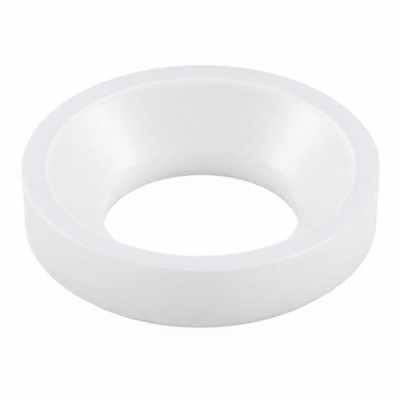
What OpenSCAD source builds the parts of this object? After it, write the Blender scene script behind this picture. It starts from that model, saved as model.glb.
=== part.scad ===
// Flare washer: a one-piece plastic ring with a conical seat that opens upwards from a short
// straight bore. The conical head of a screw beds in the seat and the flat underside spreads
// its load. The whole ring is one section turned about the Z axis. It stands on Z = 0, with
// its rim up. All sizes are in millimetres and angles in degrees.

/* [Ring] */
// Outer diameter, at the upper edge of the wall
outer_d = 20; // [18.4:0.1:40]
// Height from the underside to the flat rim
height = 4.55; // [3.9:0.05:16]
// Lean of the outer wall, which draws in towards the underside
wall_draft = 3; // [0:0.5:8]

/* [Bore and seat] */
// Diameter of the straight bore
bore_d = 11; // [9.6:0.1:16]
// Diameter of the conical seat where it meets the flat rim
seat_d = 17; // [12:0.1:19]
// Included angle of the conical seat
seat_angle = 90; // [80:1:120]

/* [Edges] */
// Radius of the outer edge of the flat rim
rim_edge_r = 0.1; // [0.05:0.01:0.3]
// Radius of the lip, where the flat rim runs into the seat
seat_lip_r = 0.6; // [0.1:0.05:1]
// Radius where the seat runs into the bore
seat_blend_r = 0.6; // [0.1:0.05:1]
// Radius at the lower edge of the bore
bore_edge_r = 0.2; // [0.05:0.05:0.6]
// Width and height of the chamfer round the outer edge of the underside
foot_chamfer = 0.7; // [0.4:0.05:1.4]
// Radius where the chamfer runs into the wall and into the underside
foot_blend_r = 0.3; // [0.05:0.05:0.6]

/* [Hidden] */
$fn = 180;
// The arcs stand this far past the straight sides, so that the two always meet.
overlap = 0.00003;
outer_r = outer_d / 2;
bore_r = bore_d / 2;
seat_r = seat_d / 2;
seat_depth = (seat_r - bore_r) / tan(seat_angle / 2);
bore_length = height - seat_depth;
foot_r = outer_r - height * tan(wall_draft);
chamfer_top_r = outer_r - (height - foot_chamfer) * tan(wall_draft);

// The corners of the section as [radius, height, edge radius], anticlockwise from the bore's foot.
section = [
    [bore_r, 0, bore_edge_r],
    [foot_r - foot_chamfer, 0, foot_blend_r],
    [chamfer_top_r, foot_chamfer, foot_blend_r],
    [outer_r, height, rim_edge_r],
    [seat_r, height, seat_lip_r],
    [bore_r, bore_length, seat_blend_r]
];

function point(corner) = [corner[0], corner[1]];
function toward(from, to) = (to - from) / norm(to - from);
function corner_before(i) = point(section[(i + len(section) - 1) % len(section)]);
function corner_after(i) = point(section[(i + 1) % len(section)]);

// Half of the angle inside corner i.
function half_angle(i) =
    let (here = point(section[i]))
    acos(toward(here, corner_before(i)) * toward(here, corner_after(i))) / 2;

// The edge's arc leaves each side of corner i at this distance from the corner.
function tangent_length(i) = section[i][2] / tan(half_angle(i));

// The two points where the arc of corner i leaves its sides.
function arc_ends(i) =
    let (here = point(section[i]), reach = tangent_length(i))
    [here + reach * toward(here, corner_before(i)), here + reach * toward(here, corner_after(i))];

// The centre of the arc of corner i, on the line that halves the corner's angle.
function arc_centre(i) =
    let (here = point(section[i]), chord_middle = (arc_ends(i)[0] + arc_ends(i)[1]) / 2)
    here + toward(here, chord_middle) * section[i][2] / sin(half_angle(i));

// The section with true arcs at its corners: straight sides between the arcs, and a disc in
// each corner. Every corner is convex, so the discs reach past the sides nowhere.
module ring_section() {
    polygon([for (i = [0 : len(section) - 1]) each arc_ends(i)]);
    for (i = [0 : len(section) - 1])
        translate(arc_centre(i)) circle(r = section[i][2] + overlap);
}

module washer() {
    color("whitesmoke") rotate_extrude() ring_section();
}

washer();
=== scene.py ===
"""A flare washer: one white plastic ring with a conical seat, standing on a pale floor.

Everything is in metres, in the part's own frame: the ring's axis is Z, its underside is at
Z = 0 and its flat rim faces up. The ring is the solid from the frame, whose shape is right
as it is, so this script gives it its finish, its light and its camera.
"""

import math

import bpy
from mathutils import Matrix, Vector


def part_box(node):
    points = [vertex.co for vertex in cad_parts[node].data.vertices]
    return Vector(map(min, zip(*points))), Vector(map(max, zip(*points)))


MM = 0.001
WHITE = (1, 1, 1, 1)

# The body of the plastic, and its flat rim, which is a shade darker and cooler. The rim's tone
# fades out from the first to the second of these depths below the rim's face
BODY_TONE = (0.93, 0.93, 0.93)
RIM_TONE = (0.85, 0.842, 0.883)
RIM_TONE_DEPTHS = (0.001 * MM, 0.015 * MM)

# The milkiness: what share of the light goes under the skin, and how far it spreads there
MILKY_SHARE = 0.5
LIGHT_SPREAD = 3 * MM
PLASTIC_IOR = 1.5

# Soft clouds in the plastic. Their noise counts between two values, where it moves the tone up
# or down by this share and the roughness from the first to the second value
CLOUD_SIZE = 0.5 * MM
CLOUD_DETAIL = 3.0
CLOUD_CRISPNESS = 0.6
CLOUD_NOISE = (0.3, 0.7)
CLOUD_TONE = 0.016
CLOUD_ROUGHNESS = (0.31, 0.37)

# The fine grain of the skin
GRAIN_SIZE = 0.12 * MM
GRAIN_DETAIL = 2.0
GRAIN_CRISPNESS = 0.5
GRAIN_STRENGTH = 0.2
GRAIN_DEPTH = 0.01 * MM

# The floor: half its width, its own colour, and how far it lies under the ring, so that their
# faces don't share a plane. The veils are the shares of plain white that the camera and the
# gloss see over its own shade
FLOOR_REACH = 1.5
FLOOR_COLOUR = (0.95, 0.95, 0.95, 1)
FLOOR_GAP = 0.01 * MM
SEEN_VEIL = 0.95
MIRRORED_VEIL = 0.5

# The camera, as fitted to the edges of the ring in the picture
PICTURE_PX = 400
SENSOR = 36.0
CAMERA_ELEVATION = math.radians(35.25)
CAMERA_DISTANCE = 783 * MM
CAMERA_TARGET = Vector((-0.043 * MM, 0, 2.265 * MM))
CAMERA_ROLL = math.radians(-0.27)
CAMERA_CLIP_START = 10 * MM
PX_PER_METRE = 17914.5

# The lamps as name, azimuth, elevation, size, brightness, and whether the gloss shows them. The
# low ones stay out of the gloss, because there they bleach the rim when it is seen from the side
LAMP_DISTANCE = 250 * MM
LAMPS = (
    ("left_high", 170, 40, 120 * MM, 4.85, True),
    ("right_key", -5, 40, 60 * MM, 5.35, True),
    ("right_high", 10, 40, 120 * MM, 2.65, True),
    ("back_left", 120, 40, 120 * MM, 2.15, True),
    ("back_right", 60, 55, 120 * MM, 2.15, True),
    ("left_low", 180, 12, 60 * MM, 7.0, False),
    ("right_low", 0, 12, 60 * MM, 4.4, False),
    ("right_side", 0, 25, 60 * MM, 6.3, False),
    ("front_fill", -90, 35, 120 * MM, 4.5, False),
)

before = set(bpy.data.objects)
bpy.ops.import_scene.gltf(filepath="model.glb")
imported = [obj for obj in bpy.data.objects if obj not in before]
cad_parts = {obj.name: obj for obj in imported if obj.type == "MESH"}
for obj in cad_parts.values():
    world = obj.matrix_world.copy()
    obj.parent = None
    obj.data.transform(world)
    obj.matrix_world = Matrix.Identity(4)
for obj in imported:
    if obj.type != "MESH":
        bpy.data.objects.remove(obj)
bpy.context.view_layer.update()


def add(tree, kind, *inputs, **settings):
    """A new node of that kind. settings are its own options, and each input is a pair of a
    socket's name or number and its value or the output that feeds it."""
    node = tree.nodes.new(kind)
    for name, value in settings.items():
        setattr(node, name, value)
    for socket, value in inputs:
        if isinstance(value, bpy.types.NodeSocket):
            tree.links.new(value, node.inputs[socket])
        else:
            node.inputs[socket].default_value = value
    return node


def speckle(tree, place, size, detail, crispness):
    """Noise from 0 to 1 in the body of the plastic, with spots of that size."""
    return add(
        tree, "ShaderNodeTexNoise",
        ("Vector", place), ("Scale", 1 / size), ("Detail", detail), ("Roughness", crispness),
    ).outputs["Fac"]


def ramp(tree, value, start, end, low=0.0, high=1.0):
    """low where value is start or less, high where it is end or more, and even in between."""
    return add(
        tree, "ShaderNodeMapRange",
        ("Value", value), ("From Min", start), ("From Max", end), ("To Min", low), ("To Max", high),
    ).outputs["Result"]


def blend(tree, share, first, second):
    """The first shader where share is 0, and the second where it is 1."""
    return add(tree, "ShaderNodeMixShader", (0, share), (1, first), (2, second)).outputs[0]


def white_plastic():
    """Satin natural white plastic: milky, with light carried a little way under its skin.

    Its tone and its gloss drift a little in soft clouds, and the skin has a fine grain. The
    flat rim, which is told by its height, is a shade darker and cooler than the rest."""
    material = bpy.data.materials.new("natural_white_plastic")
    material.use_nodes = True
    tree = material.node_tree
    place = add(tree, "ShaderNodeTexCoord").outputs["Object"]
    clouds = speckle(tree, place, CLOUD_SIZE, CLOUD_DETAIL, CLOUD_CRISPNESS)
    grain = speckle(tree, place, GRAIN_SIZE, GRAIN_DETAIL, GRAIN_CRISPNESS)

    height = add(tree, "ShaderNodeSeparateXYZ", ("Vector", place)).outputs["Z"]
    rim_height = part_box("washer")[1].z
    full_depth, last_depth = RIM_TONE_DEPTHS
    on_rim = ramp(tree, height, rim_height - last_depth, rim_height - full_depth)
    toned = add(
        tree, "ShaderNodeMix", ("Factor", on_rim), (6, (*BODY_TONE, 1)), (7, (*RIM_TONE, 1)),
        data_type="RGBA",
    ).outputs[2]
    drift = ramp(tree, clouds, *CLOUD_NOISE, 1 - CLOUD_TONE, 1 + CLOUD_TONE)
    colour = add(
        tree, "ShaderNodeVectorMath", (0, toned), ("Scale", drift), operation="SCALE",
    ).outputs["Vector"]

    roughness = ramp(tree, clouds, *CLOUD_NOISE, *CLOUD_ROUGHNESS)
    skin = add(
        tree, "ShaderNodeBump",
        ("Height", grain), ("Strength", GRAIN_STRENGTH), ("Distance", GRAIN_DEPTH),
    ).outputs["Normal"]

    shader = tree.nodes["Principled BSDF"]
    tree.links.new(colour, shader.inputs["Base Color"])
    tree.links.new(roughness, shader.inputs["Roughness"])
    tree.links.new(skin, shader.inputs["Normal"])
    shader.inputs["IOR"].default_value = PLASTIC_IOR
    shader.inputs["Subsurface Weight"].default_value = MILKY_SHARE
    shader.inputs["Subsurface Radius"].default_value = (1.0, 1.0, 1.0)
    shader.inputs["Subsurface Scale"].default_value = LIGHT_SPREAD
    return material


def seen_white(tree, plain, mirrored, seen):
    """plain for the light that falls on the ring, mirrored for what its gloss shows (and glass
    would), and seen for the camera."""
    path = add(tree, "ShaderNodeLightPath").outputs
    by_mirror = add(
        tree, "ShaderNodeMath", (0, path["Is Glossy Ray"]), (1, path["Is Transmission Ray"]),
        operation="MAXIMUM",
    ).outputs[0]
    unseen = blend(tree, by_mirror, plain, mirrored)
    return blend(tree, path["Is Camera Ray"], unseen, seen)


def pale_floor():
    """A wide pale floor under a veil of white, a hair below the ring. The camera sees it as near
    white, with the ring's shadow faintly in it. The gloss sees half of its own shade, so that
    the ring's sides darken a little towards the outline, as in the picture. From below the
    floor is clear, so that the underside can be looked at."""
    mesh = bpy.data.meshes.new("floor")
    corners = [
        (-FLOOR_REACH, -FLOOR_REACH, -FLOOR_GAP),
        (FLOOR_REACH, -FLOOR_REACH, -FLOOR_GAP),
        (FLOOR_REACH, FLOOR_REACH, -FLOOR_GAP),
        (-FLOOR_REACH, FLOOR_REACH, -FLOOR_GAP),
    ]
    mesh.from_pydata(corners, [], [(0, 1, 2, 3)])
    floor = bpy.data.objects.new("floor", mesh)
    bpy.context.scene.collection.objects.link(floor)

    material = bpy.data.materials.new("pale_floor")
    material.use_nodes = True
    tree = material.node_tree
    tree.nodes.remove(tree.nodes["Principled BSDF"])
    plain = add(tree, "ShaderNodeBsdfDiffuse", ("Color", FLOOR_COLOUR)).outputs[0]
    white = add(tree, "ShaderNodeEmission", ("Color", WHITE), ("Strength", 1.0)).outputs[0]
    mirrored = blend(tree, MIRRORED_VEIL, plain, white)
    seen = blend(tree, SEEN_VEIL, plain, white)
    from_above = seen_white(tree, plain, mirrored, seen)
    below = add(tree, "ShaderNodeNewGeometry").outputs["Backfacing"]
    clear = add(tree, "ShaderNodeBsdfTransparent").outputs[0]
    surface = blend(tree, below, from_above, clear)
    tree.links.new(surface, tree.nodes["Material Output"].inputs["Surface"])
    mesh.materials.append(material)


def white_studio():
    """White all round for the camera and the gloss. It sheds no light on the ring itself, which
    is left to the lamps."""
    world = bpy.data.worlds.new("studio")
    bpy.context.scene.world = world
    world.use_nodes = True
    tree = world.node_tree
    dark = tree.nodes["Background"]
    dark.inputs["Strength"].default_value = 0.0
    white = add(tree, "ShaderNodeBackground", ("Color", WHITE), ("Strength", 1.0)).outputs[0]
    surface = seen_white(tree, dark.outputs[0], white, white)
    tree.links.new(surface, tree.nodes["World Output"].inputs["Surface"])


def softbox(name, azimuth, elevation, size, brightness, in_gloss):
    """A square lamp that faces the ring from that direction. Its power is brightness x pi x area."""
    turn = math.radians(azimuth)
    rise = math.radians(elevation)
    toward = Vector((math.cos(turn) * math.cos(rise), math.sin(turn) * math.cos(rise), math.sin(rise)))
    lamp = bpy.data.lights.new(name, "AREA")
    lamp.size = size
    lamp.energy = brightness * math.pi * size ** 2
    holder = bpy.data.objects.new(name, lamp)
    holder.location = toward * LAMP_DISTANCE
    holder.rotation_mode = "QUATERNION"
    holder.rotation_quaternion = toward.to_track_quat("Z", "Y")
    holder.visible_glossy = in_gloss
    bpy.context.scene.collection.objects.link(holder)


def photo_camera():
    """A long lens in front of the ring, looking down on it at the picture's angle. At the
    target, a metre is PX_PER_METRE pixels of the picture's width."""
    camera = bpy.data.cameras.new("camera")
    camera.sensor_width = SENSOR
    camera.lens = PX_PER_METRE * CAMERA_DISTANCE / PICTURE_PX * SENSOR
    camera.clip_start = CAMERA_CLIP_START
    holder = bpy.data.objects.new("camera", camera)
    back = Vector((0, -math.cos(CAMERA_ELEVATION), math.sin(CAMERA_ELEVATION)))
    holder.location = CAMERA_TARGET + back * CAMERA_DISTANCE
    roll = Matrix.Rotation(CAMERA_ROLL, 3, "Z").to_quaternion()
    holder.rotation_mode = "QUATERNION"
    holder.rotation_quaternion = back.to_track_quat("Z", "Y") @ roll
    bpy.context.scene.collection.objects.link(holder)
    bpy.context.scene.camera = holder


bpy.data.objects["washer"].material_slots[0].material = white_plastic()
pale_floor()
white_studio()
for lamp in LAMPS:
    softbox(*lamp)
photo_camera()
bpy.context.scene.view_settings.view_transform = "Standard"
